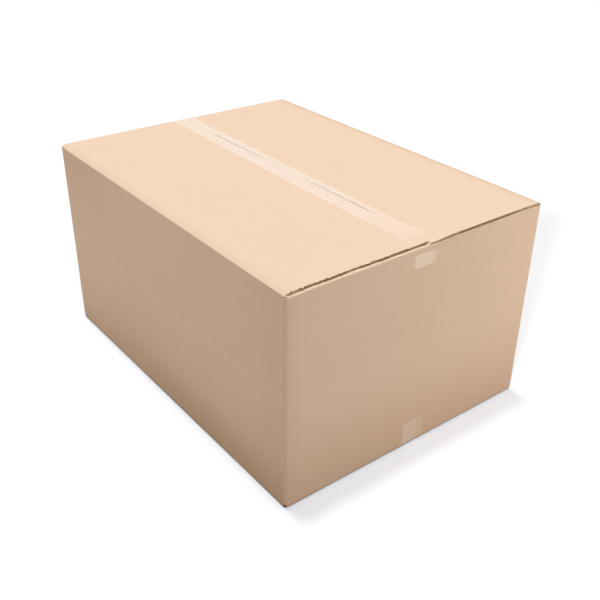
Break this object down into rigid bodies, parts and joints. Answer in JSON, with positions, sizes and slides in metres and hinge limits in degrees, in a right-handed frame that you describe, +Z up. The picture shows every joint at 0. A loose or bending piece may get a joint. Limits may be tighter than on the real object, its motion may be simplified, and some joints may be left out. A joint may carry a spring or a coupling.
{
  "type": "closed cardboard box",
  "caption": "Closed rectangular shipping carton of plain brown corrugated board, its flaps meeting at a lengthwise seam and held shut with clear tape.",
  "frame": {"origin": "under the middle of the box, on the surface that it stands on", "axes": "+X along the length towards the end panel beside the glued corner, +Y across the width, +Z up"},
  "size_m": [0.7502, 0.55, 0.4002],
  "materials": {
    "board": "matte brown kraft liner with faint fibres and fine ribs, darker at its cut edges",
    "clear_tape": "thin clear packing film with a soft streaky gloss"
  },
  "bodies": {
    "root": {"carton": "board", "top_tape": "clear_tape", "bottom_tape": "clear_tape"}
  },
  "joints": []
}
